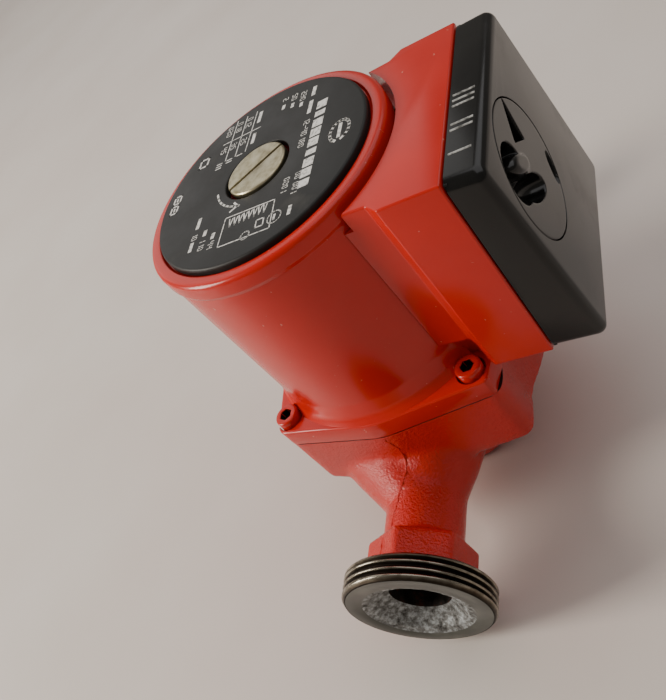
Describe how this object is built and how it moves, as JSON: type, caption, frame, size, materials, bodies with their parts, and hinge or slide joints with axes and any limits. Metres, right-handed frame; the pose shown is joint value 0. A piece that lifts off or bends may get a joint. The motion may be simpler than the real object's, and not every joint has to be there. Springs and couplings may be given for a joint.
{
  "type": "circulator pump",
  "caption": "Wet-rotor heating circulator: cast in-line housing with union ends, round motor with vent screw, terminal box with speed knob.",
  "frame": {"origin": "centre of the flat pad on the back of the pump housing", "axes": "+Z along the motor axis from the back pad to the vent screw, +X along the pipe axis towards the discharge port, +Y towards the terminal box"},
  "size_m": [0.18, 0.1184, 0.1376],
  "materials": {
    "red_iron": "gloss red paint over cast iron, slightly rough",
    "red_paint": "gloss red paint",
    "black_plastic": "semi-gloss black",
    "nameplate_black": "satin black with white print",
    "black_rubber": "matte",
    "zinc_steel": "zinc plated",
    "nickel_brass": "nickel plated, satin",
    "stainless": "satin",
    "lamination_steel": "dull",
    "copper": "enamelled copper",
    "ceramic": "ground ceramic",
    "carbon": "graphite",
    "composite": "glass filled composite",
    "grey_plastic": "moulded",
    "fibre_gasket": "matte",
    "brown_wire": "PVC sleeve",
    "blue_wire": "PVC sleeve",
    "black_wire": "PVC sleeve"
  },
  "bodies": {
    "pump": {"pump_housing": "red_iron", "wear_ring": "stainless", "housing_gasket": "fibre_gasket", "lower_bearing": "ceramic", "upper_bearing": "ceramic", "bearing_plate": "stainless", "rotor_can": "stainless", "stator_core": "lamination_steel", "winding_lower": "copper", "winding_upper": "copper", "stator_housing": "red_paint", "nameplate": "nameplate_black", "cap_screw_1": "red_paint", "cap_screw_2": "red_paint", "cap_screw_3": "red_paint", "cap_screw_4": "red_paint", "terminal_box": "red_paint", "box_screw_1": "zinc_steel", "box_screw_2": "zinc_steel", "lead_grommet": "black_rubber", "capacitor": "grey_plastic", "speed_switch": "grey_plastic", "terminal_block": "grey_plastic", "clamp_screw_1": "zinc_steel", "clamp_screw_2": "zinc_steel", "clamp_screw_3": "zinc_steel", "earth_screw": "zinc_steel", "earth_terminal": "nickel_brass", "lead_to_capacitor": "black_wire", "lead_to_switch": "brown_wire", "lead_to_terminals": "blue_wire", "cover_seal": "black_rubber", "terminal_cover": "black_plastic", "gland_body": "black_plastic", "gland_seal": "black_rubber", "gland_nut": "black_plastic"},
    "rotor_assembly": {"shaft": "ceramic", "rotor": "stainless", "thrust_ring": "carbon", "impeller": "composite"},
    "speed_selector": {"speed_knob": "black_plastic", "switch_spindle": "grey_plastic"},
    "vent_ring": {"vent_seal": "black_rubber"},
    "vent_plug": {"vent_screw": "nickel_brass"}
  },
  "joints": [
    {"name": "rotor_spin", "type": "hinge", "parent": "pump", "child": "rotor_assembly", "pos_m": [0, 0, 0.0575], "axis": [0, 0, 1], "continuous": true},
    {"name": "speed_select", "type": "hinge", "parent": "pump", "child": "speed_selector", "pos_m": [0.0105, 0.07259, 0.1091], "axis": [0, 0.9969, 0.0788], "range_deg": [0, 72]},
    {"name": "vent_travel", "type": "slide", "parent": "pump", "child": "vent_ring", "axis": [0, 0, 1], "range_m": [0, 0.009]},
    {"name": "vent_turn", "type": "hinge", "parent": "vent_ring", "child": "vent_plug", "pos_m": [0, 0, 0.1333], "axis": [0, 0, 1], "range_deg": [0, 2160]}
  ],
  "couplings": [
    {"joint": "vent_turn", "follows": "vent_travel", "rad_per_m": 4188.8}
  ]
}
